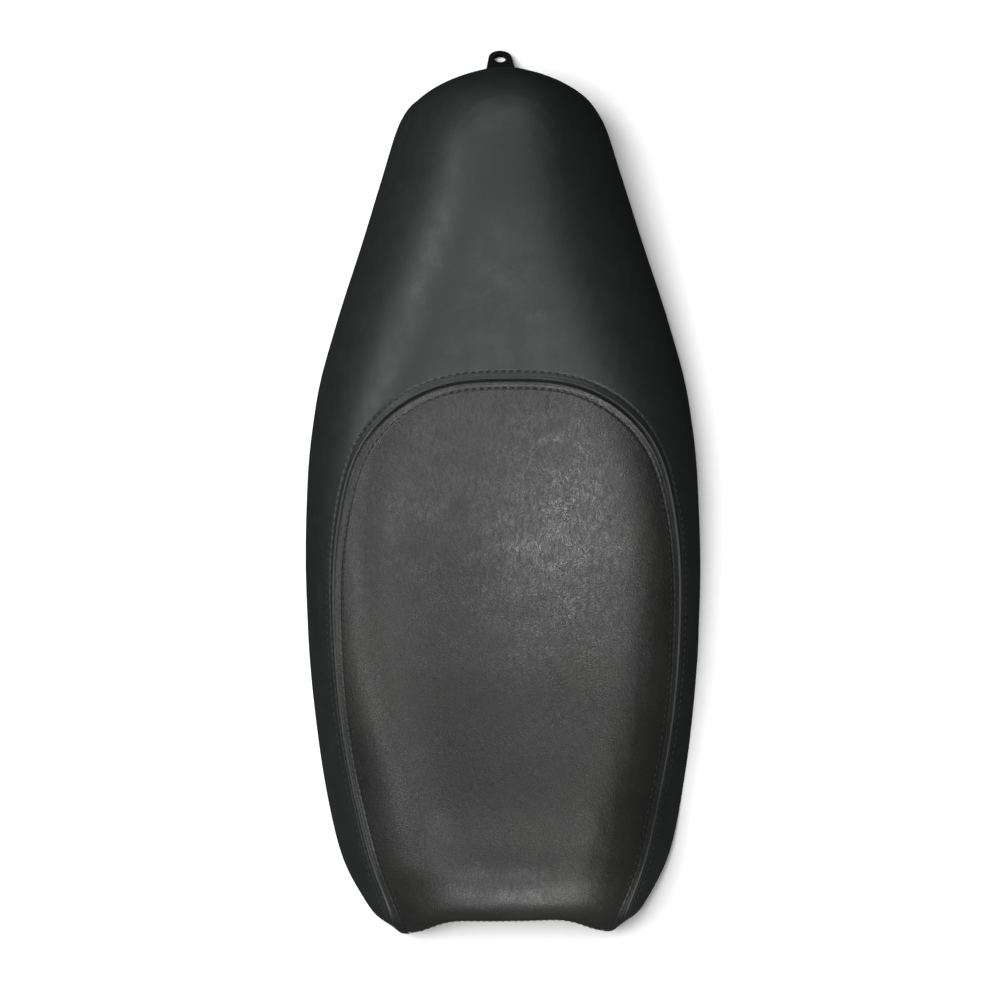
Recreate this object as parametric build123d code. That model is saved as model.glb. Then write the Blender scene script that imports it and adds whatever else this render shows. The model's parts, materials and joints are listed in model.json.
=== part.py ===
from build123d import *
import math
import os

# Two-up motorcycle seat: moulded pan, foam, sewn cover, brackets, fasteners and bumpers.
#
# Millimetres, +Z up, nose toward -Y, tail toward +Y, origin under the middle of the overall box.
# Every skin is a loft through the same stations, moved inward by its own depth.

# ---- outside form: value of each quantity at stations along Y ----
HALF_WIDTH = [(-380, 60), (-348, 86), (-339, 102), (-324, 113.5), (-293, 130), (-262, 138.5), (-200, 149),
              (-120, 156.6), (-55, 158.6), (10, 156.5), (74, 148.5), (136, 131.5), (198, 111), (259, 92),
              (290, 82), (305, 73), (317.5, 56), (325.5, 37), (329.5, 22)]
TOP = [(-380, 10), (-348, 43), (-340, 62), (-332, 78), (-322, 89), (-298, 98), (-260, 97), (-200, 90),
       (-130, 85), (-60, 88), (0, 97), (50, 110), (90, 124), (130, 136), (178, 147), (225, 152),
       (267, 150), (296, 142), (312, 130), (322.5, 113), (329.5, 88)]
DISH = [(-380, 0), (-330, 4), (-260, 13), (-140, 19), (-20, 17), (60, 8), (120, -3), (200, -9), (340, -8)]
WALL_FOOT = [(-380, 4), (-344, 34), (-300, 40), (-200, 34), (-40, 34), (90, 46), (200, 60), (300, 58),
             (340, 50)]
FLARE_DEG = [(-380, 22), (-250, 22), (-120, 14), (0, 10), (120, 13), (260, 10), (340, 6)]
ROUNDNESS = [(-380, 4), (-300, 5), (-180, 6), (-20, 6), (90, 4.4), (200, 3.6), (340, 3.2)]
EDGE = [(-380, 25), (-340, 24), (-290, 12), (-230, 1.2), (-30, 1.2), (60, 9), (150, 24), (230, 30),
        (300, 30), (340, 30)]
DECK = [(-380, 49), (-330, 49), (-250, 42), (-60, 42), (20, 50), (110, 74), (190, 88), (270, 88), (340, 78)]
Z_LOW = -30.0
STATION_STEP = 20.0
STATION_COUNT = 34
NOSE_STATIONS = [-342, -328, -322]
CREST_HALF = (0, 0.056, 0.112, 0.166, 0.215, 0.258, 0.296, 0.334, 0.382)
CREST_KNOTS = (*CREST_HALF, 0.5, *(1 - t for t in reversed(CREST_HALF)))
TAIL_END = 329.5
TAIL_LEAN = -20.0
TAIL_STEPS = (48, 34, 24, 17, 12, 8, 5, 3, 1.5, 0)

# ---- nose: a shallow recess between two horns, leaning outward to its foot ----
NOSE_Y = -339.0
HORN_DEPTH = 12.5
HORN_IN, HORN_OUT = 40.0, 84.0
NOSE_LEAN = 0.10
NOSE_LEVEL = 30.0

# ---- thicknesses ----
COVER_T = 1.2
PAN_T = 3.4
HEM_H = 11.0
HEM_START_Y = -316.0
DECK_T = 3.4

# ---- seam between rider panel and the rest, as (half width, y) from the middle round to the nose ----
SEAM = [(0, 84.5), (50, 80), (87, 62), (114, 31), (127, -8), (133.5, -53), (134.5, -96), (132.5, -143),
        (125.5, -205), (115, -256), (104, -297), (90, -338), (84, -380)]
ROW_OFFSET = 6.6
STITCH_PITCH = 5.9
STITCH_LENGTH = 4.1
THREAD_R = 0.42
THREAD_GAP = 0.03

# ---- nose hem ----
FLAP_TOP = 31.5
NOSE_STITCH_Z = 33.6
NOSE_STITCH_PITCH = 5.0
NOSE_STITCH_LENGTH = 3.4
TRIM_T = 1.6

# ---- rear bracket (bent strip with an eye) ----
STRIP_T = 2.8
STRIP_HALF = 13.0
STRIP_Y0 = 262.0
STRIP_TOP = 28.4
BEND_Y = 325.0
BEND_R = 6.0
TAB_DEG = 42.0
EYE_R = 4.8
EYE_Y = 346.4
TAB_TIP_R = 9.4
REAR_SCREWS = [(0.0, 271.0), (-6.5, 296.0), (6.5, 296.0)]
REAR_PAD = (40.0, 256.0, 306.0)

# ---- front tongue (stepped plate that hooks under a frame cross tube) ----
TONGUE_T = 3.0
TONGUE_HALF = 24.0
TONGUE_REAR_Y, TONGUE_STEP_Y, TONGUE_LOW_Y, TONGUE_TIP_Y = -244.0, -284.0, -297.0, -329.0
TONGUE_TOP = 33.0
TONGUE_DROP = 13.0
FRONT_SCREWS = [(-14.0, -253.0), (14.0, -253.0), (-14.0, -273.0), (14.0, -273.0)]
FRONT_PAD = (58.0, -287.0, -240.0)

# ---- screws ----
SCREW_R = 2.4
SCREW_LENGTH = 12.0
SCREW_HEAD_R = 4.6
SCREW_HEAD_H = 2.6
SCREW_RECESS = 2.6
WASHER_R = 6.0
WASHER_T = 1.0

# ---- rubber bumpers ----
BUMPERS = {
    "bumper_front_left": (-92, -226), "bumper_front_right": (92, -226),
    "bumper_mid_left": (-104, -60), "bumper_mid_right": (104, -60),
    "bumper_rear_left": (-66, 214), "bumper_rear_right": (66, 214),
}
BUMPER_R = 11.0
BUMPER_H = 17.0
BOSS_R = 13.0
BOSS_H = 4.0
PEG_R = 3.4
PEG_LENGTH = 5.6
PEG_CLEAR = 0.15

# ---- staples ----
STAPLE_PITCH = 17.0
STAPLE_W = 10.0
STAPLE_WIRE = 0.7
STAPLE_FLAT = 0.5
STAPLE_GAP = 0.32
STAPLE_Y0, STAPLE_Y1 = -308.0, 306.0

# ---- ribs under the deck ----
RIB_T = 2.6
RIB_H = 9.0
RIB_X = (-48, 48)
RIB_Y = (-190, -145, -100, -15, 30, 75, 120, 165)


def curve(table, y):
    """Value of a station table at y, smooth and never overshooting."""
    ys = [p[0] for p in table]
    vs = [p[1] for p in table]
    if y <= ys[0]:
        return vs[0]
    if y >= ys[-1]:
        return vs[-1]
    rise = [(vs[i + 1] - vs[i]) / (ys[i + 1] - ys[i]) for i in range(len(ys) - 1)]

    def slope(i):
        if i in (0, len(ys) - 1):
            return rise[min(i, len(rise) - 1)]
        a, b = rise[i - 1], rise[i]
        return 0.0 if a * b <= 0 else 2 * a * b / (a + b)

    i = max(k for k in range(len(ys) - 1) if ys[k] <= y)
    h = ys[i + 1] - ys[i]
    t = (y - ys[i]) / h
    return ((2 * t**3 - 3 * t**2 + 1) * vs[i] + (t**3 - 2 * t**2 + t) * h * slope(i)
            + (3 * t**2 - 2 * t**3) * vs[i + 1] + (t**3 - t**2) * h * slope(i + 1))


def section(y, inset):
    """Closed section of the form at station y, moved inward by inset."""
    lean = TAIL_LEAN if y >= TAIL_END else curve(HALF_WIDTH, y + 0.5) - curve(HALF_WIDTH, y - 0.5)
    norm = math.hypot(1.0, lean)
    w = curve(HALF_WIDTH, y) - inset / norm
    y_in = y + inset * lean / norm
    foot = curve(WALL_FOOT, y)
    fall = (curve(TOP, y + 1) - curve(TOP, y - 1)) / 2.0
    top = curve(TOP, y) - inset * (1.0 if y >= TAIL_END else min(math.hypot(1.0, fall), 2.2))
    tan_flare = math.tan(math.radians(curve(FLARE_DEG, y)))
    power = 2.0 / curve(ROUNDNESS, y)
    dish = curve(DISH, y)
    edge = curve(EDGE, y)

    def wall_x(z):
        return w - tan_flare * (z - edge)

    side = []
    for k in range(9):
        a = math.radians(90 - 10 * k)
        xi = math.sin(a) ** power
        z = foot + (top + dish * xi**2 - foot) * math.cos(a)
        side.append((xi * wall_x(z), z))
    right = [Vector(x, y_in, z) for x, z in side]
    left = [Vector(-x, y_in, z) for x, z in reversed(side)]
    crest = Edge.make_spline([*right, Vector(0, y_in, top), *left], parameters=CREST_KNOTS,
                             tangents=[Vector(-tan_flare, 0, 1), Vector(-tan_flare, 0, -1)])
    low = wall_x(Z_LOW)
    return Wire([
        Line((-low, y_in, Z_LOW), (low, y_in, Z_LOW)),
        Line((low, y_in, Z_LOW), right[0]),
        crest,
        Line(left[-1], (-low, y_in, Z_LOW)),
    ])


def nose_line(x):
    """Y of the nose face at its foot level."""
    t = min(max((abs(x) - HORN_IN) / (HORN_OUT - HORN_IN), 0.0), 1.0)
    return NOSE_Y - HORN_DEPTH * t * t * (3 - 2 * t)


def nose_cutter(inset):
    """Everything ahead of the nose face, moved inward by inset."""
    wires = []
    for z in (-60.0, 200.0):
        pts = []
        for x in range(-130, 131, 10):
            d = nose_line(x + 0.5) - nose_line(x - 0.5)
            n = math.hypot(1.0, d)
            y = nose_line(x) + inset / n + NOSE_LEAN * (z - NOSE_LEVEL)
            pts.append(Vector(x - inset * d / n, y, z))
        y_far = -460.0
        wires.append(Wire([
            Spline(*pts), Line(pts[-1], (pts[-1].X, y_far, z)),
            Line((pts[-1].X, y_far, z), (pts[0].X, y_far, z)), Line((pts[0].X, y_far, z), pts[0]),
        ]))
    return Solid.make_loft(wires, ruled=True)


def uncut_form(inset):
    ys = [HALF_WIDTH[0][0] + STATION_STEP * i for i in range(STATION_COUNT)]
    ys += NOSE_STATIONS + [TAIL_END - s for s in TAIL_STEPS]
    ys = sorted({y for y in ys if y <= TAIL_END})
    return Solid.make_loft([section(y, inset) for y in ys])


def form(inset):
    """Solid bounded by the outside form moved inward by inset."""
    return uncut_form(inset) - nose_cutter(inset)


def level_profile(table, shift):
    ys = list(range(-480, 481, 20))
    return [Vector(0, y, curve(table, y) + shift) for y in ys]


def above(table, shift=0.0):
    """Everything above the level line of table plus shift."""
    pts = level_profile(table, shift)
    wire = Wire([Spline(*pts), Line(pts[-1], (0, 480, 320)), Line((0, 480, 320), (0, -480, 320)),
                 Line((0, -480, 320), pts[0])])
    return extrude(Face(wire), 250, dir=(1, 0, 0), both=True)


def below(table, shift=0.0):
    """Everything under the level line of table plus shift."""
    pts = level_profile(table, shift)
    wire = Wire([Spline(*pts), Line(pts[-1], (0, 480, -120)), Line((0, 480, -120), (0, -480, -120)),
                 Line((0, -480, -120), pts[0])])
    return extrude(Face(wire), 250, dir=(1, 0, 0), both=True)


def seam_wire_points(offset):
    """Seam line moved outward by offset, from the left nose round to the right nose."""
    pts = [(-x, y) for x, y in reversed(SEAM[1:])] + SEAM
    line = Spline(*[(x, y, 0) for x, y in pts], tangents=[(-0.12, 1, 0), (-0.12, -1, 0)])
    out = []
    for i in range(97):
        p = line @ (i / 96)
        t = line % (i / 96)
        out.append(Vector(p.X - t.Y * offset, p.Y + t.X * offset, 0))
    return out


def seam_prism(offset, z0=-60.0, z1=220.0):
    """Upright prism over everything inside the seam line moved outward by offset."""
    pts = seam_wire_points(offset)
    face = Face(Wire([Spline(*pts), Line(pts[-1], pts[0])]))
    return extrude(face.moved(Location((0, 0, z0))), z1 - z0, dir=(0, 0, 1))


def capsule(a, b, r):
    """Round-ended rod from a to b."""
    axis = b - a
    rod = Cylinder(r, axis.length, align=(Align.CENTER, Align.CENTER, Align.MIN))
    return Plane(origin=a, z_dir=axis).location * rod


def solve(f, target, rising):
    """Parameter in 0..1 where the steady function f reaches target."""
    lo, hi = 0.0, 1.0
    for _ in range(22):
        mid = (lo + hi) / 2
        if (f(mid) < target) == rising:
            lo = mid
        else:
            hi = mid
    return (lo + hi) / 2


def crest_grid(crest):
    """Which parameter of the crest face runs along Y, and whether X and Y grow with theirs."""
    along_v = abs(crest.position_at(0.5, 1).Y - crest.position_at(0.5, 0).Y) > 100

    def at(across, along):
        return crest.position_at(across, along) if along_v else crest.position_at(along, across)

    return at, at(1, 0.5).X > at(0, 0.5).X, at(0.5, 1).Y > at(0.5, 0).Y


def surface_hit(grid, x, y):
    """Point and upward normal of the crest over x, y."""
    at, x_rises, y_rises = grid
    across = along = 0.5
    for _ in range(4):
        along = solve(lambda t: at(across, t).Y, y, y_rises)
        across = solve(lambda t: at(t, along).X, x, x_rises)
    h = 1e-4
    n = (at(across + h, along) - at(across - h, along)).cross(at(across, along + h) - at(across, along - h))
    n = n.normalized()
    return at(across, along), n if n.Z > 0 else n * -1


def stitches(grid, offset):
    """One row of top stitching on the crest, following the seam at the given offset."""
    row = Spline(*seam_wire_points(offset))
    count = int(row.length / STITCH_PITCH)
    out = []
    for i in range(count):
        mid = (i + 0.5) * STITCH_PITCH
        if mid + STITCH_LENGTH > row.length:
            continue
        ends = []
        for s in (mid - STITCH_LENGTH / 2, mid + STITCH_LENGTH / 2):
            p = row @ (s / row.length)
            if p.Y < nose_line(p.X) + 13:
                break
            q, n = surface_hit(grid, p.X, p.Y)
            ends.append(q + n * (THREAD_R + THREAD_GAP))
        if len(ends) == 2:
            out.append(capsule(ends[0], ends[1], THREAD_R))
    return out


def rod(x, y, z0, z1, r):
    """Upright cylinder between two levels."""
    return Pos(x, y, (z0 + z1) / 2) * Cylinder(r, z1 - z0)


def slab(half_x, y0, y1, z0, z1):
    """Box centred on X between the given Y and Z limits."""
    return Pos(0, (y0 + y1) / 2, (z0 + z1) / 2) * Box(2 * half_x, y1 - y0, z1 - z0)


def screw(x, y, z):
    """Pan-head screw going up from level z, with a hexagonal recess in its head."""
    head = Pos(x, y, z - SCREW_HEAD_H / 2) * Cylinder(SCREW_HEAD_R, SCREW_HEAD_H)
    head = fillet(head.edges().sort_by(Axis.Z)[0], 1.4)
    recess = Pos(x, y, z - SCREW_HEAD_H) * extrude(RegularPolygon(SCREW_RECESS, 6), 1.6)
    return rod(x, y, z - 1, z + SCREW_LENGTH, SCREW_R) + head - recess


def washer(x, y, z):
    return rod(x, y, z - WASHER_T, z, WASHER_R) - rod(x, y, z - WASHER_T - 1, z + 1, SCREW_R + 0.2)


def fasteners(name, places, z):
    """Screws with their washers under a plate whose underside is at level z."""
    save(f"{name}_washers", Compound(children=[washer(x, y, z) for x, y in places]))
    save(f"{name}_screws", Compound(children=[screw(x, y, z - WASHER_T) for x, y in places]))


def bent_strip(points, thickness, half_x, radius):
    """Strip whose top face follows a bent line in the YZ plane."""
    path = [Vector(0, y, z) for y, z in points]
    low = []
    for i, p in enumerate(path):
        dirs = []
        if i > 0:
            dirs.append((p - path[i - 1]).normalized())
        if i < len(path) - 1:
            dirs.append((path[i + 1] - p).normalized())
        normals = [Vector(0, d.Z, -d.Y) if d.Y > 0 else Vector(0, -d.Z, d.Y) for d in dirs]
        n = normals[0]
        if len(normals) == 2:
            n = (normals[0] + normals[1]) / (1 + normals[0].dot(normals[1]))
        low.append(p + n * thickness)
    side = Face(Wire(Polyline(*path, *reversed(low), close=True)))
    strip = extrude(side, half_x, dir=(1, 0, 0), both=True)
    for i in range(1, len(path) - 1):
        for corner in (path[i], low[i]):
            near = [e for e in strip.edges().filter_by(Axis.X)
                    if math.hypot(e.center().Y - corner.Y, e.center().Z - corner.Z) < 0.1]
            strip = fillet(near, radius)
    return strip


def skin_wall(y, inset, z):
    """Point on the straight lower wall of a skin, on the +X side."""
    lean = curve(HALF_WIDTH, y + 0.5) - curve(HALF_WIDTH, y - 0.5)
    norm = math.hypot(1.0, lean)
    tan_flare = math.tan(math.radians(curve(FLARE_DEG, y)))
    w = curve(HALF_WIDTH, y) - inset / norm
    return Vector(w - tan_flare * (z - curve(EDGE, y)), y + inset * lean / norm, z)


def save(name, shape):
    shape.label = name
    print(name, round(shape.volume, 1), shape.is_valid, len(shape.solids()))
    export_step(shape, f"parts/{name}.step")


os.makedirs("parts", exist_ok=True)

outer = form(0.0)
under_cover = form(COVER_T)
pan_inner = form(COVER_T + PAN_T)
hem_inner = form(2 * COVER_T + PAN_T)

# ---- cover skin with its folded hem, then cut into panels ----
cover = (outer & above(EDGE, -COVER_T)) - (under_cover & above(EDGE)) - pan_inner
hem_zone = above(EDGE, -COVER_T) & below(EDGE, HEM_H) & slab(200, HEM_START_Y, 400, -60, 200)
hem = (pan_inner & hem_zone) - hem_inner
inside_seam = seam_prism(0.0)
flap_zone = slab(140, -420, -320, -60, FLAP_TOP)
save("rider_panel", (cover & inside_seam) - flap_zone)
save("passenger_panel", cover - inside_seam)
save("cover_hem", hem)
save("nose_flap", cover & inside_seam & flap_zone)

# ---- foam ----
save("foam_core", under_cover & above(DECK))

# ---- pan: skirt walls, deck, ribs, pads and bumper bosses ----
deck_under = below(DECK, -DECK_T)
pan = (under_cover & below(DECK) & above(EDGE)) - (pan_inner & deck_under)
inside_pan = pan_inner & below(DECK, -DECK_T + 0.4) & above(EDGE, HEM_H + 4)
ribs = [Pos(x, 10, 60) * Box(RIB_T, 560, 240) for x in RIB_X]
ribs += [Pos(0, y, 60) * Box(400, RIB_T, 240) for y in RIB_Y]
pan = pan + (inside_pan & above(DECK, -DECK_T - RIB_H) & (ribs[0] + ribs[1:]))
for half, y0, y1, level in ((*REAR_PAD, STRIP_TOP), (*FRONT_PAD, TONGUE_TOP)):
    pan = pan + (slab(half / 2, y0, y1, level, 200) & below(DECK, -1))
holes = []
for x, y in BUMPERS.values():
    level = curve(DECK, y) - DECK_T - BOSS_H
    pan = pan + (rod(x, y, level, 200, BOSS_R) & below(DECK, -1))
    holes.append(rod(x, y, level - 5, level + PEG_LENGTH + 0.3, PEG_R + PEG_CLEAR))
for places, plate_top, plate_t in ((REAR_SCREWS, STRIP_TOP, STRIP_T), (FRONT_SCREWS, TONGUE_TOP, TONGUE_T)):
    end = plate_top + SCREW_LENGTH - plate_t - WASHER_T
    holes += [rod(x, y, plate_top - 1, end, SCREW_R) for x, y in places]
pan = pan - holes
save("base_pan", pan)

# ---- bumpers ----
for name, (x, y) in BUMPERS.items():
    level = curve(DECK, y) - DECK_T - BOSS_H
    body = rod(x, y, level - BUMPER_H, level, BUMPER_R)
    body = fillet(body.edges().sort_by(Axis.Z)[0], 2.5)
    save(name, body + rod(x, y, level - 1, level + PEG_LENGTH, PEG_R))

# ---- rear bracket ----
slope = math.radians(TAB_DEG)
run = EYE_Y - BEND_Y + TAB_TIP_R * math.cos(slope)
eye_u = (EYE_Y - BEND_Y) / math.cos(slope)
tab_low = (BEND_Y + run, STRIP_TOP - run * math.tan(slope))
strip = bent_strip([(STRIP_Y0, STRIP_TOP), (BEND_Y, STRIP_TOP), tab_low], STRIP_T, STRIP_HALF, BEND_R)
tab_plane = Plane((0, BEND_Y, STRIP_TOP), x_dir=(1, 0, 0), z_dir=(0, math.sin(slope), math.cos(slope)))
tip = make_hull([*Circle(TAB_TIP_R).moved(Location((0, eye_u, 0))).edges(),
                 *Rectangle(2 * STRIP_HALF, 1).moved(Location((0, 5.0, 0))).edges()])
keep = tab_plane.location * extrude(tip, 20, both=True)
strip = (strip & slab(40, 200, BEND_Y + 3.0, 0, 60)) + (strip & keep)
strip = strip - tab_plane.location * Pos(0, eye_u, 0) * Cylinder(EYE_R, 20)
strip = strip - [rod(x, y, 0, 60, SCREW_R + 0.1) for x, y in REAR_SCREWS]
save("rear_bracket", strip)
fasteners("rear", REAR_SCREWS, STRIP_TOP - STRIP_T)

# ---- front tongue ----
tongue = bent_strip([(TONGUE_REAR_Y, TONGUE_TOP), (TONGUE_STEP_Y, TONGUE_TOP),
                     (TONGUE_LOW_Y, TONGUE_TOP - TONGUE_DROP), (TONGUE_TIP_Y, TONGUE_TOP - TONGUE_DROP)],
                    TONGUE_T, TONGUE_HALF, 3.0)
tongue = fillet([e for e in tongue.edges().filter_by(Axis.Z) if e.center().Y < TONGUE_TIP_Y + 1], 10.0)
tongue = tongue - [rod(x, y, 0, 60, SCREW_R + 0.1) for x, y in FRONT_SCREWS]
save("front_tongue", tongue)
fasteners("front", FRONT_SCREWS, TONGUE_TOP - TONGUE_T)

# ---- strip of rubber glued along the nose edge ----
trim_zone = slab(90, -420, -322, -60, 200)
trim = under_cover & below(EDGE, -COVER_T) & above(EDGE, -COVER_T - TRIM_T) & trim_zone
save("nose_edge_trim", trim - hem_inner)

# ---- staples along the hem ----
staples = []
depth = 2 * COVER_T + PAN_T + STAPLE_GAP
for side in (-1, 1):
    y = STAPLE_Y0
    while y < STAPLE_Y1:
        level = curve(EDGE, y) + HEM_H * 0.55
        a = skin_wall(y - STAPLE_W / 2, depth, level)
        b = skin_wall(y + STAPLE_W / 2, depth, level)
        d = b - a
        place = Plane(origin=((a + b) / 2), x_dir=d, z_dir=(0, 0, 1))
        bar = place.location * Box(STAPLE_W, STAPLE_FLAT, STAPLE_WIRE)
        staples.append(bar if side > 0 else mirror(bar, Plane.YZ))
        y += STAPLE_PITCH / math.hypot(1, (b.X - a.X) / STAPLE_W)
save("hem_staples", Compound(children=staples))

# ---- threads ----
grid = crest_grid(uncut_form(0.0).faces().sort_by(Axis.Z)[-1])
save("seam_thread_outer", Compound(children=stitches(grid, ROW_OFFSET)))
save("seam_thread_inner", Compound(children=stitches(grid, -ROW_OFFSET)))
row = []
count = int((2 * HORN_OUT - 14) / NOSE_STITCH_PITCH)
for i in range(count):
    x = (i - (count - 1) / 2) * NOSE_STITCH_PITCH
    ends = []
    for s in (-NOSE_STITCH_LENGTH / 2, NOSE_STITCH_LENGTH / 2):
        hits = outer.find_intersection_points(Axis((x + s, -460, NOSE_STITCH_Z), (0, 1, 0)))
        q = min(hits, key=lambda h: h[0].Y)[0]
        ends.append(q - Vector(0, THREAD_R + THREAD_GAP + 0.03, 0))
    row.append(capsule(ends[0], ends[1], THREAD_R))
save("nose_thread", Compound(children=row))
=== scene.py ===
import json
import math

import bmesh
import bpy
import numpy as np
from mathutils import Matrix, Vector
from mathutils.bvhtree import BVHTree
from mathutils.kdtree import KDTree


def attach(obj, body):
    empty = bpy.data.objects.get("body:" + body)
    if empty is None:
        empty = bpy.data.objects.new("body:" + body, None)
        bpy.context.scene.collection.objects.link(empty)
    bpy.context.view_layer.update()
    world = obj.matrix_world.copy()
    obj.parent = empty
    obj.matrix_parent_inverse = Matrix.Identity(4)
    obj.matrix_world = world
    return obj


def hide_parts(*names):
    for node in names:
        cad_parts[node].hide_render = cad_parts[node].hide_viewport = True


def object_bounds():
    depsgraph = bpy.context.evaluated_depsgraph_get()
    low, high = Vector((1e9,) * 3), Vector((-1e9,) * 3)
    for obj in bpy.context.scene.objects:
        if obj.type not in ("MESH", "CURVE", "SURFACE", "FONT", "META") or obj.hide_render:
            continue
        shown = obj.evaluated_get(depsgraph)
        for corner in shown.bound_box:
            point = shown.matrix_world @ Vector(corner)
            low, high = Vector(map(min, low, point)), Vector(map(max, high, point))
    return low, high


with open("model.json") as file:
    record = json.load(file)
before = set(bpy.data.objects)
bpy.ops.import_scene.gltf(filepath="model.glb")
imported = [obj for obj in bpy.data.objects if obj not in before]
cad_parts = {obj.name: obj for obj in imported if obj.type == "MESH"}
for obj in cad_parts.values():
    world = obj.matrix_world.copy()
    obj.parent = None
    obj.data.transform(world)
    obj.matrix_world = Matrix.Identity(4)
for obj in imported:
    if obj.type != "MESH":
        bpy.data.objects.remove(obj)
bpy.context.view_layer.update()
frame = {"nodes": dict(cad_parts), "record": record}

nodes = frame["nodes"]
MM = 0.001

# ---- plan of the seam, from the middle round to the nose: the same points as the CAD, in mm ----
SEAM = [(0, 84.5), (50, 80), (87, 62), (114, 31), (127, -8), (133.5, -53), (134.5, -96), (132.5, -143),
        (125.5, -205), (115, -256), (104, -297), (90, -338), (84, -380)]
# ---- level of the pan's lower edge along Y, and how far the cover runs past it: as in the CAD, in mm ----
EDGE = [(-380, 25), (-340, 24), (-290, 12), (-230, 1.2), (-30, 1.2), (60, 9), (150, 24), (230, 30), (300, 30),
        (340, 30)]
COVER_T = 1.2

# ---- stitching, in mm ----
ROW_OFFSET = 6.6
STITCH_PITCH = 5.9
STITCH_LENGTH = 4.3
HEM_STITCH_Z = 33.6
HEM_STITCH_PITCH = 5.0
HEM_STITCH_LENGTH = 3.6
FLAP_TOP = 31.5
SEAM_STITCH_RADIUS, HEM_STITCH_RADIUS, HEM_STITCH_SINK = 0.48, 0.45, 0.4

# ---- relief along the seam, in mm: height and width, and for the last four the distance from the seam ----
GROOVE = (-1.75, 0.95)
SWELL = (0.75, 7.0)
LIP = (0.75, 1.1, 1.9)
PUCKER = (0.10, 1.6, 4.0)
ROW_VALLEY = (-0.75, 1.1, ROW_OFFSET)
ROW_DIMPLE = (-0.16, 2.2, ROW_OFFSET)
LOOPS_OUT = [0.45, 1.0, 1.7, 2.6, 5.0, 5.9, 6.6, 7.3, 8.2]
LOOPS = [-d for d in reversed(LOOPS_OUT)] + [0] + LOOPS_OUT
SEAM_REACH = 30
# ---- beside the seam, in metres: reach of the edge loops and of the smoothing, fade at the lower edge ----
CUT_REACH, SMOOTH_REACH = 0.012, 0.0125
EDGE_FADE = 0.012

# ---- folded hem, in mm: how far in and how high each turn of the fold lies ----
HEM_PATH = [(0.8, -0.25), (3.2, -0.35), (5.7, 0.0), (6.0, 0.9), (6.0, 11.0)]

# ---- form under the cover, in metres ----
ROLL_Y, ROLL_HALF, ROLL_WIDTH, ROLL_RISE, ROLL_FLOOR = -0.311, 0.100, 0.036, 0.0055, 0.05
SPINE_FRONT, SPINE_BACK, SPINE_Z = -0.250, 0.245, 0.040
TAIL_FEET, NOSE_FEET = 40, 60
DEPTH_POINTS = 46
FORM_STEP = 0.0045
EDGE_GAP = 0.0012
PUFF_PRESSURE, PUFF_CAP = 3.0, 0.0016
SEAM_HOLD, HEM_HOLD, HEM_HOLD_FADE = 0.006, 0.022, 0.014
COVER_MARGIN = 0.0002
CORE_TOUCH, CORE_REACH, CORE_FACING = 0.004, 0.006, 0.6
FLARE, FLARE_Y, FLARE_TOP, FLARE_HALF, FLARE_FADE = 0.0030, -0.315, 0.046, 0.090, 0.012
FLAP_Y = -0.300
WORN_CENTRE, WORN_SCALE = (0.045, -0.040, 0.0), (1.35, 0.62, 0.0)
DENT_FLOOR, DENT_REACH = 0.060, 0.05
# each dent: x, y, width, length, turn in radians, depth
DENTS = [(0.029, 0.043, 0.005, 0.012, 0.5, 0.0006), (0.014, -0.084, 0.013, 0.015, 0.9, 0.0007),
         (0.036, -0.135, 0.003, 0.022, -1.0, 0.0003), (-0.045, 0.010, 0.003, 0.028, -1.1, 0.0002)]


# =====================================================================  helpers
def new_object(name, verts, faces, smooth=True):
    mesh = bpy.data.meshes.new(name)
    mesh.from_pydata([tuple(v) for v in verts], [], faces)
    mesh.validate()
    mesh.update()
    if smooth:
        mesh.polygons.foreach_set("use_smooth", [True] * len(mesh.polygons))
    obj = bpy.data.objects.new(name, mesh)
    bpy.context.scene.collection.objects.link(obj)
    return obj


def coords(mesh):
    flat = np.empty(len(mesh.vertices) * 3)
    mesh.vertices.foreach_get("co", flat)
    return flat.reshape(-1, 3)


def apply_modifiers(obj):
    deps = bpy.context.evaluated_depsgraph_get()
    mesh = bpy.data.meshes.new_from_object(obj.evaluated_get(deps))
    old = obj.data
    obj.modifiers.clear()
    obj.data = mesh
    bpy.data.meshes.remove(old)


def mesh_tree(mesh):
    """Search tree of one mesh."""
    faces = [list(p.vertices) for p in mesh.polygons]
    return BVHTree.FromPolygons([v.co.copy() for v in mesh.vertices], faces)


def tree_of(names):
    """One search tree of several CAD nodes."""
    verts, faces = [], []
    for name in names:
        mesh = nodes[name].data
        base = len(verts)
        verts += [v.co.copy() for v in mesh.vertices]
        faces += [[base + i for i in p.vertices] for p in mesh.polygons]
    return BVHTree.FromPolygons(verts, faces)


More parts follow.
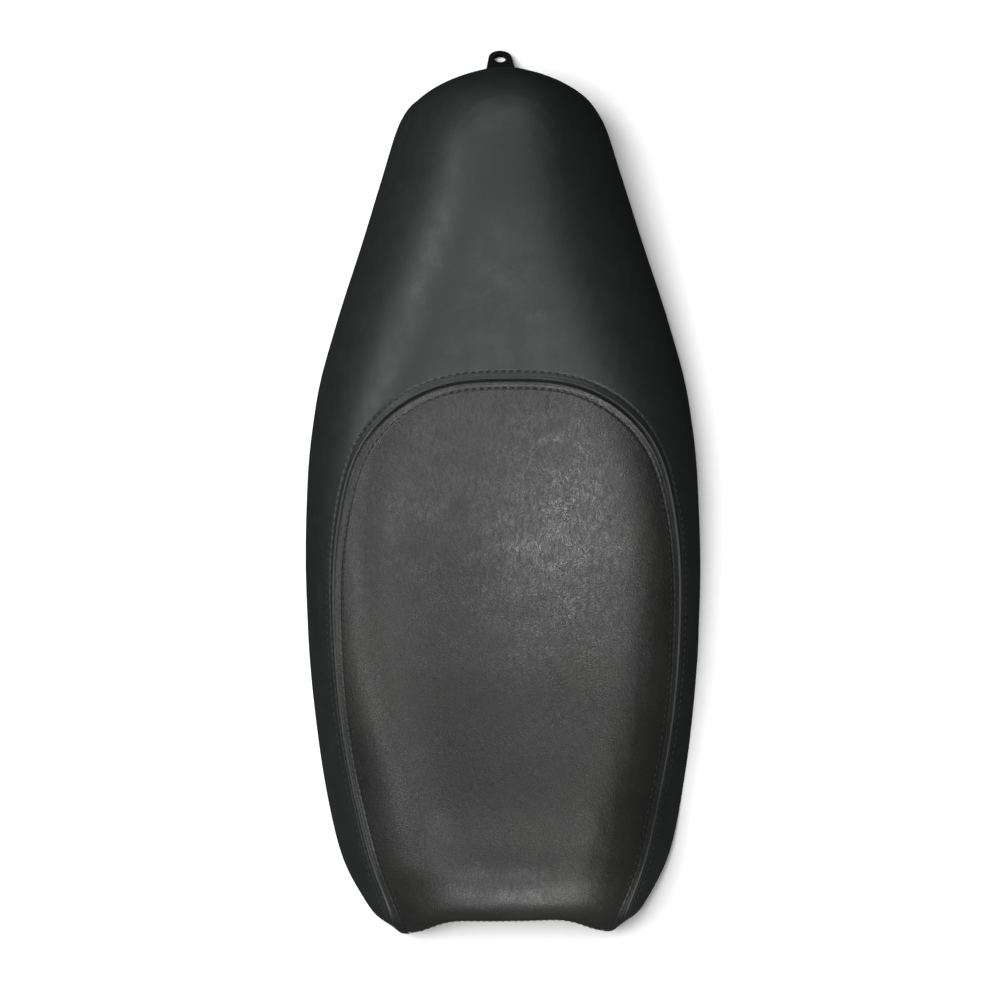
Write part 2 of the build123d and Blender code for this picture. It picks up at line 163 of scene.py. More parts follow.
def spline(points, step):
    """Smooth curve through plan points by chord-length cubic pieces, sampled every step."""
    p = np.array(points, float)
    t = np.concatenate([[0], np.cumsum(np.linalg.norm(np.diff(p, axis=0), axis=1))])
    n = len(p)
    system = np.zeros((n, n))
    right = np.zeros((n, 2))
    system[0, 0] = system[-1, -1] = 1
    lead = np.array([-0.12, 1.0]) / math.hypot(0.12, 1)
    right[0], right[-1] = lead, np.array([lead[0], -lead[1]])
    h = np.diff(t)
    for i in range(1, n - 1):
        system[i, i - 1], system[i, i], system[i, i + 1] = h[i], 2 * (h[i - 1] + h[i]), h[i - 1]
        right[i] = 3 * (h[i] * (p[i] - p[i - 1]) / h[i - 1] + h[i - 1] * (p[i + 1] - p[i]) / h[i])
    m = np.linalg.solve(system, right)
    out = []
    for s in np.arange(0, t[-1], step):
        i = min(np.searchsorted(t, s, side="right") - 1, n - 2)
        u = (s - t[i]) / h[i]
        out.append((2 * u**3 - 3 * u**2 + 1) * p[i] + (u**3 - 2 * u**2 + u) * h[i] * m[i]
                   + (3 * u**2 - 2 * u**3) * p[i + 1] + (u**3 - u**2) * h[i] * m[i + 1])
    return np.array(out)


def offset_line(line, d):
    tangent = np.gradient(line, axis=0)
    tangent /= np.linalg.norm(tangent, axis=1)[:, None]
    return line + np.stack([-tangent[:, 1], tangent[:, 0]], axis=1) * d


def resample(line, count):
    length = np.concatenate([[0], np.cumsum(np.linalg.norm(np.diff(line, axis=0), axis=1))])
    want = np.linspace(0, length[-1], count)
    return np.stack([np.interp(want, length, line[:, k]) for k in range(line.shape[1])], axis=1)


# =====================================================================  the form under the cover
cover_tree = tree_of(["rider_panel", "passenger_panel", "nose_flap"])


def curve(table, y):
    """Value of a station table at y, by the same rule as in the CAD: smooth, never overshooting."""
    ys, vs = zip(*table)
    rise = [(vs[i + 1] - vs[i]) / (ys[i + 1] - ys[i]) for i in range(len(ys) - 1)]

    def slope(i):
        if i in (0, len(ys) - 1):
            return rise[min(i, len(rise) - 1)]
        a, b = rise[i - 1], rise[i]
        return 0.0 if a * b <= 0 else 2 * a * b / (a + b)

    y = min(max(y, ys[0]), ys[-1])
    i = max(k for k in range(len(ys) - 1) if ys[k] <= y)
    h = ys[i + 1] - ys[i]
    t = (y - ys[i]) / h
    return ((2 * t**3 - 3 * t**2 + 1) * vs[i] + (t**3 - 2 * t**2 + t) * h * slope(i)
            + (3 * t**2 - 2 * t**3) * vs[i + 1] + (t**3 - t**2) * h * slope(i + 1))


EDGE_Y = np.arange(-0.380, 0.3401, 0.002)
EDGE_Z = np.array([(curve(EDGE, y / MM) - COVER_T) * MM for y in EDGE_Y])


def edge_level(y):
    """Height of the cover's lower edge at y."""
    return np.interp(y, EDGE_Y, EDGE_Z)


def form_mesh():
    """Closed mesh of the outside form, read off the CAD cover by rays, its walls run on below the edge."""
    feet = []
    ys = np.arange(SPINE_FRONT, SPINE_BACK, FORM_STEP)
    feet += [(Vector((0, y, SPINE_Z)), Vector((1, 0, 0))) for y in ys]
    for k in range(1, TAIL_FEET):
        a = math.pi * k / TAIL_FEET
        feet.append((Vector((0, SPINE_BACK, SPINE_Z)), Vector((math.cos(a), math.sin(a), 0))))
    feet += [(Vector((0, y, SPINE_Z)), Vector((-1, 0, 0))) for y in ys[::-1]]
    for k in range(1, NOSE_FEET):
        a = math.pi + math.pi * k / NOSE_FEET
        feet.append((Vector((0, SPINE_FRONT, SPINE_Z)), Vector((math.cos(a), math.sin(a), 0))))
    rows = []
    for origin, out in feet:
        line = []
        for beta in np.radians(np.linspace(90, -32, 123)):
            way = out * math.cos(beta) + Vector((0, 0, math.sin(beta)))
            hit = cover_tree.ray_cast(origin + way * 0.7, -way)[0]
            if hit is None or (hit - origin).dot(way) < 0.02 or hit.z < edge_level(hit.y) + EDGE_GAP:
                if line and beta < 0.3:
                    break
                continue
            line.append(np.array(hit))
        line = np.array(line)
        fall = line[-1] - line[-7]
        fall /= max(-fall[2], 1e-6)
        line = np.vstack([line, line[-1] + fall * 0.012, line[-1] + fall * 0.028])
        rows.append(resample(line, DEPTH_POINTS))
    verts = [p for row in rows for p in row]
    count, depth = len(rows), DEPTH_POINTS
    faces = []
    for i in range(count):
        here, there = i * depth, (i + 1) % count * depth
        faces += [[here + k, here + k + 1, there + k + 1, there + k] for k in range(depth - 1)]
    middle = len(verts)
    verts.append(np.array([0, 0, -0.03]))
    faces += [[i * depth + depth - 1, middle, ((i + 1) % count) * depth + depth - 1] for i in range(count)]
    obj = new_object("form", verts, faces)
    bm = bmesh.new()
    bm.from_mesh(obj.data)
    bmesh.ops.remove_doubles(bm, verts=bm.verts, dist=0.0004)
    bmesh.ops.recalc_face_normals(bm, faces=bm.faces)
    bm.to_mesh(obj.data)
    bm.free()
    return obj


seam_half = [(-x, y) for x, y in reversed(SEAM[1:])] + SEAM
seam_plan = spline(seam_half, 0.5) * MM
row_plans = [offset_line(seam_plan, side * ROW_OFFSET * MM) for side in (1, -1)]


def drop_on(tree, plan):
    """Plan points put down on the surface below them."""
    out = []
    for x, y in plan:
        hit = tree.ray_cast(Vector((x, y, 0.4)), Vector((0, 0, -1)))[0]
        if hit is not None and hit.z > edge_level(y) + 0.004:
            out.append(np.array(hit))
    return np.array(out)


def line_tree(points):
    tree = KDTree(len(points))
    for i, p in enumerate(points):
        tree.insert(Vector(p), i)
    tree.balance()
    return tree


form = form_mesh()
remesh = form.modifiers.new("remesh", "REMESH")
remesh.mode = "VOXEL"
remesh.voxel_size = FORM_STEP
remesh.use_smooth_shade = True
apply_modifiers(form)
smooth = form.modifiers.new("smooth", "LAPLACIANSMOOTH")
smooth.iterations = 6
smooth.lambda_factor = 0.25
smooth.use_volume_preserve = True
apply_modifiers(form)
print("form", len(form.data.vertices))

seam_line = drop_on(mesh_tree(form.data), seam_plan)
seam_tree = line_tree(seam_line)


def puff(obj, pressure, cap):
    """Inflates the cover between its sewn and stapled lines with a short cloth run, capped."""
    start = coords(obj.data).copy()
    group = obj.vertex_groups.new(name="held")
    weights = []
    for i, co in enumerate(start):
        over_edge = co[2] - edge_level(co[1])
        near = seam_tree.find(Vector(co))[2]
        hem = min(1.0, max(0.0, (HEM_HOLD - over_edge) / HEM_HOLD_FADE))
        held = max(math.exp(-(near / SEAM_HOLD) ** 2), hem)
        weights.append(held)
        group.add([i], held, "REPLACE")
    cloth = obj.modifiers.new("cloth", "CLOTH")
    s = cloth.settings
    s.vertex_group_mass = "held"
    s.quality = 6
    s.mass = 0.35
    s.tension_stiffness = s.compression_stiffness = 18
    s.shear_stiffness = 8
    s.bending_stiffness = 2.5
    s.use_pressure = True
    s.uniform_pressure_force = pressure
    s.effector_weights.gravity = 0
    cloth.collision_settings.use_collision = False
    cloth.point_cache.frame_start, cloth.point_cache.frame_end = 1, 20
    for f in range(1, 21):
        bpy.context.scene.frame_set(f)
    deps = bpy.context.evaluated_depsgraph_get()
    moved = coords(obj.evaluated_get(deps).to_mesh()).copy()
    obj.evaluated_get(deps).to_mesh_clear()
    obj.modifiers.clear()
    bpy.context.scene.frame_set(1)
    normal = np.array([v.normal for v in obj.data.vertices])
    out = np.clip(((moved - start) * normal).sum(axis=1), 0, cap)
    pairs = np.array([e.vertices[:] for e in obj.data.edges])
    ends, others = pairs.ravel(), pairs[:, ::-1].ravel()
    links = np.bincount(ends, minlength=len(out))
    for _ in range(60):
        out = 0.5 * out + 0.5 * np.bincount(ends, out[others], len(out)) / links
    out = (out * (1 - np.array(weights)))[:, None]
    obj.data.vertices.foreach_set("co", (start + normal * out).ravel())
    obj.data.update()
    print("cloth moved", out.mean(), out.max())


puff(form, PUFF_PRESSURE, PUFF_CAP)
for v in form.data.vertices:
    if v.co.z > ROLL_FLOOR and abs(v.co.x) < ROLL_HALF:
        fade = (1 - (v.co.x / ROLL_HALF) ** 2) ** 2
        v.co.z += ROLL_RISE * fade * math.exp(-((v.co.y - ROLL_Y) / ROLL_WIDTH) ** 2)

sub = form.modifiers.new("sub", "SUBSURF")
sub.levels = sub.render_levels = 1
apply_modifiers(form)


# =====================================================================  cutting and sewing
def signed_seam(co):
    """Distance to the seam, positive outside it."""
    index = seam_tree.find(co)[1]
    a = seam_line[max(index - 1, 0)]
    b = seam_line[min(index + 1, len(seam_line) - 1)]
    way = b - a
    way /= np.linalg.norm(way)
    rel = np.array(co) - seam_line[index]
    flat = rel - way * rel.dot(way)
    side = way[0] * rel[1] - way[1] * rel[0]
    return math.copysign(math.sqrt(max(flat.dot(flat), 0)), side)


def cut_levels(bm, value, levels, near):
    """Adds edge loops where value(co) takes each level, without moving the surface."""
    keep = [bm.verts.layers.float.new(n) for n in ("kx", "ky", "kz")]
    for v in bm.verts:
        for k in range(3):
            v[keep[k]] = v.co[k]
        v.co.x = value(v.co)
    for level in levels:
        faces = [f for f in bm.faces if min(abs(v.co.x) for v in f.verts) < near]
        geom = set(faces)
        for f in faces:
            geom.update(f.verts)
            geom.update(f.edges)
        bmesh.ops.bisect_plane(bm, geom=list(geom), dist=1e-7, plane_co=(level, 0, 0), plane_no=(1, 0, 0))
    for v in bm.verts:
        v.co = Vector([v[keep[k]] for k in range(3)])
    for n in ("kx", "ky", "kz"):
        bm.verts.layers.float.remove(bm.verts.layers.float[n])


bm = bmesh.new()
bm.from_mesh(form.data)
for v in bm.verts:
    v.co.z -= edge_level(v.co.y)
bmesh.ops.bisect_plane(bm, geom=bm.verts[:] + bm.edges[:] + bm.faces[:], dist=1e-7,
                       plane_co=(0, 0, 0), plane_no=(0, 0, 1), clear_inner=True)
for v in bm.verts:
    v.co.z += edge_level(v.co.y)
closeness = {v: abs(signed_seam(v.co)) for v in bm.verts}
close_edges = [e for e in bm.edges if max(closeness[v] for v in e.verts) < CUT_REACH]
bmesh.ops.subdivide_edges(bm, edges=close_edges, cuts=1, use_grid_fill=True, smooth=0.0)
fresh = [v for v in bm.verts if abs(signed_seam(v.co)) < SMOOTH_REACH and not v.is_boundary]
for _ in range(3):
    bmesh.ops.smooth_vert(bm, verts=fresh, factor=0.4, use_axis_x=True, use_axis_y=True, use_axis_z=True)
print("refined", len(bm.verts))
cut_levels(bm, signed_seam, [d * MM for d in LOOPS], CUT_REACH)
print("looped", len(bm.verts))


def feature(d, shape):
    """Height, at distance d from the seam, of a bell given as (height, width, distance from the seam)."""
    height, width, *away = shape
    off = abs(d) - away[0] if away else d
    return height * math.exp(-(off / width) ** 2)


seam_run = np.concatenate([[0], np.cumsum(np.linalg.norm(np.diff(seam_line, axis=0), axis=1))]) / MM
bm.normal_update()
moves = {}
for v in bm.verts:
    d = signed_seam(v.co) / MM
    if abs(d) > SEAM_REACH:
        continue
    run = seam_run[seam_tree.find(v.co)[1]]
    phase = math.cos(2 * math.pi * run / STITCH_PITCH)
    height = feature(d, GROOVE) + feature(d, SWELL) + feature(d, LIP) + feature(d, ROW_VALLEY)
    height += phase * (feature(d, PUCKER) + feature(d, ROW_DIMPLE))
    fade = min(1.0, max(0.0, (v.co.z - edge_level(v.co.y)) / EDGE_FADE))
    moves[v] = v.normal * height * fade * MM
for v, step in moves.items():
    v.co += step
# the nose hem flares a little, so that its stitching is seen from above
for v in bm.verts:
    if v.co.y < FLARE_Y and v.co.z < FLARE_TOP and abs(v.co.x) < FLARE_HALF:
        t = min(1.0, (FLARE_TOP - v.co.z) / FLARE_FADE)
        v.co.y -= FLARE * t * t * (3 - 2 * t) * (1 - (v.co.x / FLARE_HALF) ** 2)
for x, y, wide, long, lean, depth in DENTS:
    c, s = math.cos(lean), math.sin(lean)
    for v in bm.verts:
        if v.co.z > DENT_FLOOR and abs(v.co.x - x) < DENT_REACH and abs(v.co.y - y) < DENT_REACH:
            u, w = (v.co.x - x) * c + (v.co.y - y) * s, (v.co.y - y) * c - (v.co.x - x) * s
            v.co.z -= depth * math.exp(-(u / long) ** 2 - (w / wide) ** 2)


def panel_of(face):
    c = face.calc_center_median()
    if signed_seam(c) > 0:
        return "passenger_panel"
    if c.z / MM < FLAP_TOP and c.y < FLAP_Y:
        return "nose_flap"
    return "rider_panel"


# the hem: the lower boundary is carried in under the pan's edge and up inside it
ring = [e for e in bm.edges if e.is_boundary]
inward = {}
for v in {v for e in ring for v in e.verts}:
    n = Vector((v.normal.x, v.normal.y, 0))
    inward[v] = (-n.normalized(), v.co.copy())
for reach, rise in HEM_PATH:
    got = bmesh.ops.extrude_edge_only(bm, edges=ring)["geom"]
    fresh_edges = [g for g in got if isinstance(g, bmesh.types.BMEdge) and g.is_boundary]
    fresh_verts = {v for e in fresh_edges for v in e.verts}
    moved_from = {}
    for v in fresh_verts:
        for e in v.link_edges:
            other = e.other_vert(v)
            if other not in fresh_verts and other in inward:
                way, base = inward[other]
                moved_from[v] = (way, base)
    for v, (way, base) in moved_from.items():
        v.co = base + way * reach * MM + Vector((0, 0, rise * MM))
    inward.update(moved_from)
    ring = fresh_edges

# nothing under the cover may come through it
bm.normal_update()
core_tree = tree_of(["foam_core", "base_pan"])
pushed = 0
for v in bm.verts:
    if v.co.z > edge_level(v.co.y) + CORE_TOUCH and v not in inward:
        hit, normal = core_tree.find_nearest(v.co, CORE_REACH)[:2]
        if hit is None or normal.dot(v.normal) <= CORE_FACING:
            continue
        if (v.co - hit).dot(normal) < COVER_MARGIN:
            v.co = hit + normal * COVER_MARGIN
            pushed += 1
print("pushed", pushed)

labels = {f: panel_of(f) for f in bm.faces}
bm.faces.index_update()
face_label = [labels[f] for f in bm.faces]
whole = bpy.data.meshes.new("whole")
bm.to_mesh(whole)
bm.free()
bpy.data.objects.remove(form)
panels = {}
for label in ("rider_panel", "passenger_panel", "nose_flap"):
    part = bmesh.new()
    part.from_mesh(whole)
    part.faces.ensure_lookup_table()
    bmesh.ops.delete(part, geom=[f for f, n in zip(part.faces, face_label) if n != label], context="FACES")
    mesh = bpy.data.meshes.new("cover_" + label)
    part.to_mesh(mesh)
    part.free()
    mesh.polygons.foreach_set("use_smooth", [True] * len(mesh.polygons))
    obj = bpy.data.objects.new("cover_" + label, mesh)
    bpy.context.scene.collection.objects.link(obj)
    panels[label] = obj
    print(label, len(mesh.polygons))
skin_tree = mesh_tree(whole)


# =====================================================================  stitches
def stitch_shape(a, b, up, radius, sink):
    """One twisted two-ply stitch from a to b: verts and faces."""
    rings, sides = 9, 8
    way = b - a
    length = way.length
    way = way / length
    across = way.cross(up).normalized()
    up = across.cross(way)
    verts, faces = [], []
    for i in range(rings):
        t = i / (rings - 1)
        arch = math.sin(math.pi * t) ** 0.5
        centre = a + way * length * t + up * (radius * 0.55 * arch - sink * (1 - arch))
        for j in range(sides):
            angle = 2 * math.pi * j / sides
            ply = 1 - 0.30 * abs(math.cos(angle - 3.2 * t * math.pi))
            fat = radius * ply * (0.75 + 0.25 * arch)
            verts.append(centre + (across * math.cos(angle) + up * math.sin(angle)) * fat)
    for i in range(rings - 1):
        for j in range(sides):
            k = (j + 1) % sides
            faces.append([i * sides + j, i * sides + k, (i + 1) * sides + k, (i + 1) * sides + j])
    faces.append(list(range(sides))[::-1])
    faces.append([(rings - 1) * sides + j for j in range(sides)])
    return verts, faces


def stitch_row(name, line, pitch, length, radius, sink=0.0006):
    """Stitches laid end to end on the skin along a line of 3-D points."""
    run = np.concatenate([[0], np.cumsum(np.linalg.norm(np.diff(line, axis=0), axis=1))])
    verts, faces = [], []
    mid = pitch / 2
    rng = np.random.default_rng(7)
    while mid + length < run[-1]:
        ends = []
        jitter = rng.normal(0, 0.00009, 2)
        for s in (mid - length / 2 + jitter[0], mid + length / 2 + jitter[1]):
            p = Vector([np.interp(s, run, line[:, k]) for k in range(3)])
            ends.append(skin_tree.find_nearest(p)[:2])
        up = (ends[0][1] + ends[1][1]).normalized()
        got, quads = stitch_shape(ends[0][0], ends[1][0], up, radius, sink)
        faces += [[i + len(verts) for i in q] for q in quads]
        verts += got
        mid += pitch
    return new_object(name, verts, faces)


threads = {}
for name, plan in (("seam_thread_outer", row_plans[0]), ("seam_thread_inner", row_plans[1])):
    threads[name] = stitch_row("stitches_" + name, drop_on(skin_tree, plan), STITCH_PITCH * MM,
                               STITCH_LENGTH * MM, SEAM_STITCH_RADIUS * MM)
nose_points = []
for x in np.arange(-0.080, 0.0801, 0.001):
    hit = skin_tree.ray_cast(Vector((x, -0.5, HEM_STITCH_Z * MM)), Vector((0, 1, 0)))[0]
    if hit is not None:
        nose_points.append(np.array(hit))
threads["nose_thread"] = stitch_row("stitches_nose_thread", np.array(nose_points), HEM_STITCH_PITCH * MM,
                                    HEM_STITCH_LENGTH * MM, HEM_STITCH_RADIUS * MM, HEM_STITCH_SINK * MM)


# =====================================================================  materials
class Nodes:
    """Short hand for building a node material."""

    def __init__(self, name):
        self.mat = bpy.data.materials.new(name)
        self.mat.use_nodes = True
        self.tree = self.mat.node_tree
        self.bsdf = self.tree.nodes["Principled BSDF"]
        self.place = self.tree.nodes.new("ShaderNodeTexCoord").outputs["Object"]

    def add(self, kind, **values):
        node = self.tree.nodes.new(kind)
        for key, value in values.items():
            if hasattr(node, key):
                setattr(node, key, value)
            else:
                node.inputs[key.replace("_", " ")].default_value = value
        return node

    def link(self, a, b):
        self.tree.links.new(a, b)

    def noise(self, scale, detail=3.0, rough=0.55, vector=None, distortion=0.0):
        node = self.add("ShaderNodeTexNoise", Scale=scale, Detail=detail, Roughness=rough,
                        Distortion=distortion)
        self.link(vector or self.place, node.inputs["Vector"])
        return node.outputs["Fac"]

    def cells(self, scale, feature="F1", vector=None):
        node = self.add("ShaderNodeTexVoronoi", feature=feature, Scale=scale)
        self.link(vector or self.place, node.inputs["Vector"])
        return node.outputs["Distance"]

    def stretched(self, x, y, z):
        node = self.add("ShaderNodeMapping")
        node.inputs["Scale"].default_value = (x, y, z)
        self.link(self.place, node.inputs["Vector"])
        return node.outputs["Vector"]

    def ramp(self, value, stops):
        node = self.add("ShaderNodeValToRGB")
        ramp = node.color_ramp
        for i, (pos, col) in enumerate(stops):
            el = ramp.elements[i] if i < 2 else ramp.elements.new(pos)
            el.position = pos
            el.color = (*col, 1) if isinstance(col, tuple) else (col, col, col, 1)
        self.link(value, node.inputs["Fac"])
        return node.outputs["Color"]

    def math(self, op, a, b=None):
        node = self.add("ShaderNodeMath", operation=op)
        for i, v in enumerate((a, b)):
            if v is None:
                continue
            if isinstance(v, (int, float)):
                node.inputs[i].default_value = v
            else:
                self.link(v, node.inputs[i])
        return node.outputs[0]

    def mix(self, fac, a, b):
        node = self.add("ShaderNodeMix", data_type="RGBA")
        for socket, v in ((node.inputs["Factor"], fac), (node.inputs[6], a), (node.inputs[7], b)):
            if isinstance(v, (int, float)):
                socket.default_value = v
            elif isinstance(v, tuple):
                socket.default_value = (*v, 1)
            else:
                self.link(v, socket)
        return node.outputs[2]

    def bump(self, height, distance, strength=1.0, under=None):
        node = self.add("ShaderNodeBump")
        node.inputs["Strength"].default_value = strength
        node.inputs["Distance"].default_value = distance
        self.link(height, node.inputs["Height"])
        if under is not None:
            self.link(under, node.inputs["Normal"])
        return node.outputs["Normal"]

    def finish(self, color, rough, normal=None, **sockets):
        for socket, v in (("Base Color", color), ("Roughness", rough)):
            target = self.bsdf.inputs[socket]
            if isinstance(v, tuple):
                target.default_value = (*v, 1)
            elif isinstance(v, (int, float)):
                target.default_value = v
            else:
                self.link(v, target)
        if normal is not None:
            self.link(normal, self.bsdf.inputs["Normal"])
        for key, v in sockets.items():
            self.bsdf.inputs[key.replace("_", " ")].default_value = v
        return self.mat


def leather(name, dark, light, grain, crease, rough, worn=0.0):
    """Pebbled, wrinkled skin; worn lowers the roughness over the middle of the rider area."""
    n = Nodes(name)
    far = n.add("ShaderNodeVectorMath", operation="DISTANCE")
    n.link(n.stretched(*WORN_SCALE), far.inputs[0])
    far.inputs[1].default_value = [c * k for c, k in zip(WORN_CENTRE, WORN_SCALE)]
    patch = n.ramp(far.outputs["Value"], [(0.015, 1.0), (0.115, 0.0)])
    warped = n.add("ShaderNodeVectorMath", operation="ADD")
    wobble = n.add("ShaderNodeTexNoise", Scale=420.0, Detail=2.0)
    n.link(n.place, wobble.inputs["Vector"])
    shift = n.add("ShaderNodeVectorMath", operation="SCALE")
    shift.inputs["Scale"].default_value = 0.0009
    n.link(wobble.outputs["Color"], shift.inputs[0])
    n.link(n.place, warped.inputs[0])
    n.link(shift.outputs[0], warped.inputs[1])
    pebble = n.cells(720.0, "SMOOTH_F1", warped.outputs[0])
    fine = n.noise(2600.0, 2.0)
    lines = n.noise(34.0, 5.0, 0.62, n.stretched(1.6, 0.75, 1.2), 1.4)
    ridge = n.math("ABSOLUTE", n.math("SUBTRACT", lines, 0.5))
    folds = n.ramp(ridge, [(0.0, 0.0), (0.022, 1.0)])
    broad = n.noise(9.0, 3.0, 0.5)
    where = n.ramp(n.noise(11.0, 2.0), [(0.40, 0.0), (0.80, 1.0)])
    creases = n.mix(where, (1, 1, 1), folds)
    turned = n.add("ShaderNodeMapping")
    turned.inputs["Rotation"].default_value = (0, 0, math.radians(-35))
    turned.inputs["Scale"].default_value = (1.0, 0.62, 1.0)
    n.link(n.place, turned.inputs["Vector"])
    wrinkle = n.math("ABSOLUTE", n.math("SUBTRACT", n.noise(250.0, 4.0, 0.6, turned.outputs[0], 1.6), 0.5))
    wrinkles = n.ramp(wrinkle, [(0.0, 0.0), (0.10, 1.0)])
    wrinkle_bump = n.bump(wrinkles, 0.00008 * crease, 0.7)
    grain_bump = n.bump(pebble, 0.00010 * grain, 1.0, wrinkle_bump)
    fine_bump = n.bump(fine, 0.00008, 0.7, grain_bump)
    crease_bump = n.bump(creases, 0.00009 * crease, 0.7, fine_bump)
    swell = n.bump(broad, 0.0030 * crease, 0.35, crease_bump)
    tone = n.mix(n.ramp(broad, [(0.30, 0.0), (0.72, 1.0)]), dark, light)
    tone = n.mix(n.ramp(pebble, [(0.15, 0.0), (0.75, 0.35)]), tone, tuple(c * 0.55 for c in dark))
    dust = n.ramp(n.cells(95.0), [(0.0, 1.0), (0.018, 0.0)])
    tone = n.mix(n.math("MULTIPLY", dust, 0.22), tone, (0.32, 0.31, 0.28))
    gloss = n.ramp(n.noise(55.0, 4.0), [(0.25, rough - 0.06), (0.8, rough + 0.09)])
    gloss = n.math("SUBTRACT", gloss, n.math("MULTIPLY", patch, worn))
    return n.finish(tone, gloss, swell, Specular_IOR_Level=0.5)


def plastic(name, tone, rough, grain=900.0):
    n = Nodes(name)
    texture = n.bump(n.noise(grain, 3.0), 0.00012, 0.8)
    scuffs = n.ramp(n.noise(38.0, 6.0, 0.7, n.stretched(1, 6, 1)), [(0.50, 0.0), (0.82, 1.0)])
    color = n.mix(n.math("MULTIPLY", scuffs, 0.35), tone, tuple(c * 2.2 + 0.01 for c in tone))
    return n.finish(color, n.ramp(n.noise(60.0), [(0.2, rough - 0.08), (0.8, rough + 0.1)]), texture)


def painted(name):
    n = Nodes(name)
    peel = n.bump(n.noise(330.0, 2.0), 0.00010, 0.5)
    chips = n.ramp(n.noise(210.0, 4.0, 0.7), [(0.70, 0.0), (0.74, 1.0)])
    color = n.mix(chips, (0.010, 0.010, 0.011), (0.09, 0.085, 0.08))
    return n.finish(color, n.ramp(n.noise(90.0), [(0.2, 0.16), (0.8, 0.32)]), peel, Coat_Weight=0.35,
                    Coat_Roughness=0.12)


def metal(name, tone, rough):
    n = Nodes(name)
    lines = n.noise(900.0, 3.0, 0.6, n.stretched(1, 0.15, 1))
    color = n.mix(n.noise(160.0, 4.0), tone, tuple(c * 0.62 for c in tone))
    gloss = n.ramp(lines, [(0.2, rough - 0.08), (0.8, rough + 0.12)])
    return n.finish(color, gloss, n.bump(lines, 0.00004, 0.5), Metallic=1.0)


def fibre(name, tone, rough=0.62, sheen=0.25):
    n = Nodes(name)
    strands = n.noise(3800.0, 3.0, 0.6)
    color = n.mix(n.ramp(strands, [(0.3, 0.0), (0.7, 1.0)]), tuple(c * 0.6 for c in tone), tone)
    return n.finish(color, rough, n.bump(strands, 0.00010, 0.8), Sheen_Weight=sheen, Sheen_Roughness=0.5)


def foam_material(name):
    n = Nodes(name)
    pores = n.cells(900.0)
    color = n.mix(pores, (0.62, 0.56, 0.42), (0.42, 0.36, 0.25))
    return n.finish(color, 0.92, n.bump(pores, 0.0006, 1.0))


RIDER = leather("leather_rider", (0.012, 0.013, 0.012), (0.021, 0.022, 0.0195), 1.0, 1.0, 0.46, 0.18)
SKIRT = leather("vinyl_skirt", (0.014, 0.0162, 0.0156), (0.0175, 0.0195, 0.0182), 0.35, 0.10, 0.54)
PAN = plastic("pan_plastic", (0.022, 0.022, 0.023), 0.55)
RUBBER = plastic("rubber", (0.018, 0.018, 0.018), 0.72, 1600.0)
STEEL_BLACK = painted("black_steel")
ZINC = metal("zinc_steel", (0.62, 0.62, 0.60), 0.34)
WIRE = metal("staple_wire", (0.55, 0.54, 0.50), 0.30)
THREAD_BLACK = fibre("thread_black", (0.005, 0.005, 0.005), 0.50, 0.0)
THREAD_TAN = fibre("thread_tan", (0.42, 0.35, 0.24))
FOAM = foam_material("foam")
BY_SLOT = {
    "pan_plastic": PAN, "rubber": RUBBER, "black_steel": STEEL_BLACK, "zinc_steel": ZINC,
    "staple_wire": WIRE, "thread_black": THREAD_BLACK, "thread_tan": THREAD_TAN, "foam": FOAM,
    "leather_rider": RIDER, "vinyl_skirt": SKIRT,
}


def dress(obj, material):
    obj.data.materials.clear()
    obj.data.materials.append(material)


slot_of = {s["node"]: s["material_slot"] for s in frame["record"]["subparts"]}
for name, obj in nodes.items():
    dress(obj, BY_SLOT[slot_of[name]])

for name in ("rear_bracket", "front_tongue"):
    bevel = nodes[name].modifiers.new("edge", "BEVEL")
    bevel.width = 0.0004
    bevel.segments = 2
    bevel.limit_method = "ANGLE"

dress(panels["rider_panel"], RIDER)
dress(panels["passenger_panel"], SKIRT)
dress(panels["nose_flap"], SKIRT)
dress(threads["seam_thread_outer"], THREAD_BLACK)
dress(threads["seam_thread_inner"], THREAD_BLACK)
dress(threads["nose_thread"], THREAD_TAN)

for label, obj in panels.items():
    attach(obj, "root")
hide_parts("rider_panel")
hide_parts("passenger_panel", "cover_hem")
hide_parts("nose_flap")
for name, obj in threads.items():
    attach(obj, "root")
    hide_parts(name)

# =====================================================================  floor, light, camera
floor = new_object("floor", [(-6, -6, 0), (6, -6, 0), (6, 6, 0), (-6, 6, 0)], [[0, 1, 2, 3]], False)
floor.location.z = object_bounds()[0][2] - 0.0003
paper = Nodes("floor_paper")
paper.finish((0.86, 0.86, 0.86), 0.85)
dress(floor, paper.mat)
floor.visible_diffuse = floor.visible_glossy = False

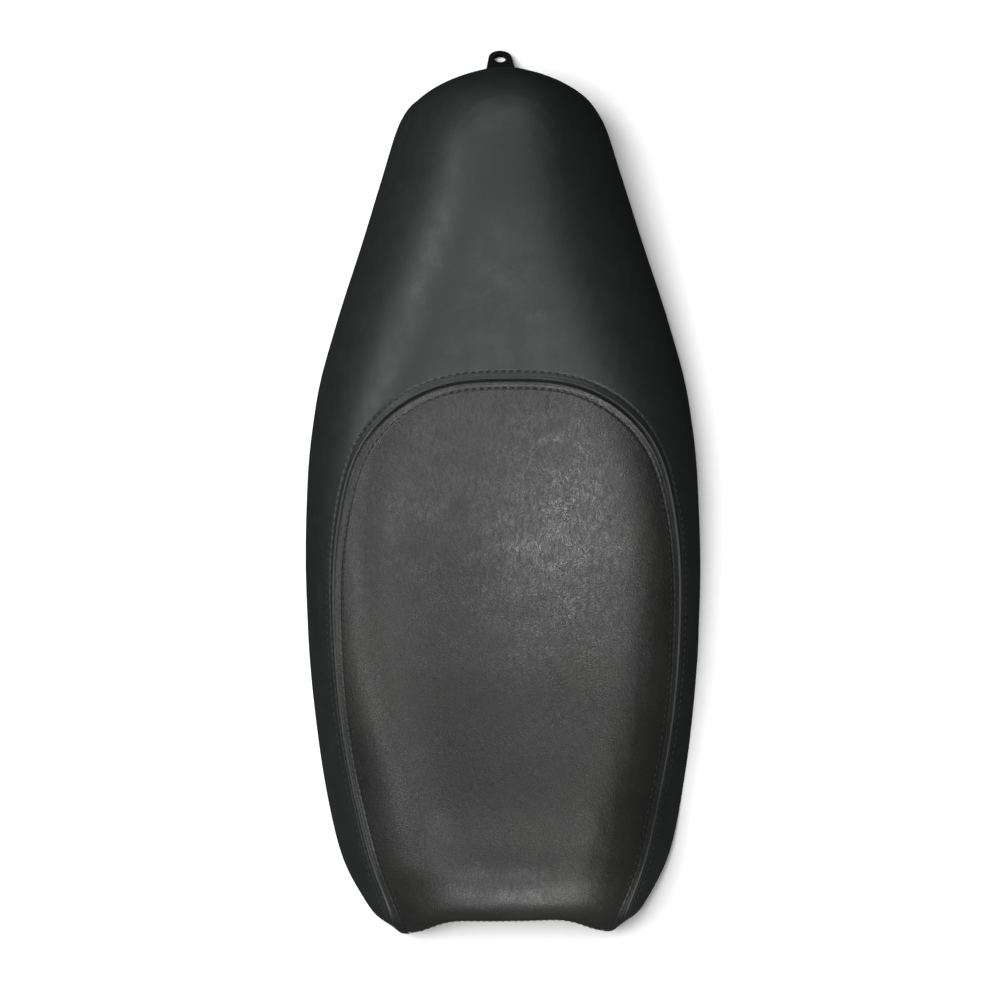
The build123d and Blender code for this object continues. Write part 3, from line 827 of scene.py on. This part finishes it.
world = bpy.data.worlds.new("studio")
bpy.context.scene.world = world
world.use_nodes = True
world.node_tree.nodes["Background"].inputs["Color"].default_value = (0.95, 0.97, 1.0, 1)
world.node_tree.nodes["Background"].inputs["Strength"].default_value = 0.022


def area(name, place, aim, size, power, receivers):
    """Area lamp that lights only the given receivers."""
    lamp = bpy.data.lights.new(name, "AREA")
    lamp.shape = "RECTANGLE"
    lamp.size, lamp.size_y = size
    lamp.energy = power
    obj = bpy.data.objects.new(name, lamp)
    obj.location = place
    obj.rotation_euler = (Vector(aim) - Vector(place)).to_track_quat("-Z", "Y").to_euler()
    obj.light_linking.receiver_collection = receivers
    bpy.context.scene.collection.objects.link(obj)


on_seat = bpy.data.collections.new("lit_by_seat_lights")
on_seat.objects.link(floor)
on_seat.collection_objects[0].light_linking.link_state = "EXCLUDE"
on_floor = bpy.data.collections.new("lit_by_floor_light")
on_floor.objects.link(floor)
area("main", (0.03, -0.87, 2.9), (0, 0, 0.05), (0.6, 0.5), 36, on_seat)
area("front", (0.4, -2.3, 1.3), (0, -0.2, 0.05), (0.8, 0.4), 42, on_seat)
area("back", (-0.3, 1.9, 2.3), (0, 0.1, 0.05), (1.6, 0.6), 30, on_seat)
area("left", (-2.2, 0.2, 1.4), (0, 0, 0.05), (1.5, 0.8), 42, on_seat)
area("sweep", (-1.05, 0.3, 2.6), (0, 0, 0), (1.6, 1.6), 112, on_floor)
area("sweep_fill", (0.2, -0.1, 2.6), (0, 0, 0), (2.4, 2.4), 36, on_floor)

CAMERA_DISTANCE = 2.6
VIEW_WIDTH = 0.804
SENSOR = 36
TILT = math.radians(2.2)
AIM = Vector((-0.0024, -0.0068, 0.0))
camera_data = bpy.data.cameras.new("camera")
camera_data.sensor_width = SENSOR
camera_data.lens = SENSOR * CAMERA_DISTANCE / VIEW_WIDTH
camera = bpy.data.objects.new("camera", camera_data)
camera.location = AIM + Vector((-math.sin(TILT), 0, math.cos(TILT))) * CAMERA_DISTANCE
camera.rotation_euler = (0, -TILT, math.radians(-0.42))
bpy.context.scene.collection.objects.link(camera)
bpy.context.scene.camera = camera
bpy.context.scene.view_settings.view_transform = "Standard"
